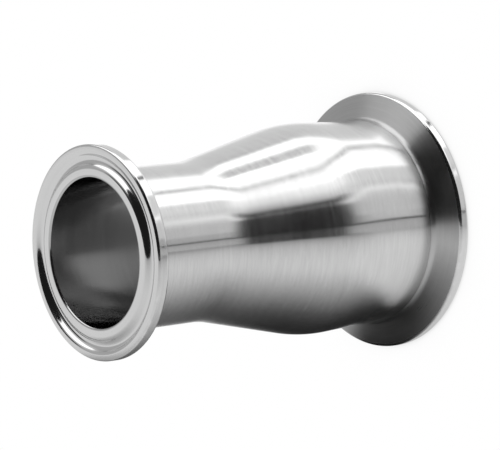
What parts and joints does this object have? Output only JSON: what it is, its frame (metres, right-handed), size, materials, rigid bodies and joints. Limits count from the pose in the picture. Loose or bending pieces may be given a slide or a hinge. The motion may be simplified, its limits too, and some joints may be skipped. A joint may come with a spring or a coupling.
{
  "type": "sanitary clamp reducer",
  "caption": "Concentric stainless steel tube reducer with a clamp ferrule at each end, joining hygienic tubing of two sizes.",
  "frame": {"origin": "centre of the large ferrule's sealing face, which the fitting stands on", "axes": "+Z along the bore from the large ferrule to the small one; X and Y are free, because the part is round"},
  "size_m": [0.064, 0.064, 0.0889],
  "materials": {
    "steel": "fine brush marks round the body, ferrules turned and polished"
  },
  "bodies": {
    "root": {"reducer_body": "steel"}
  },
  "joints": []
}
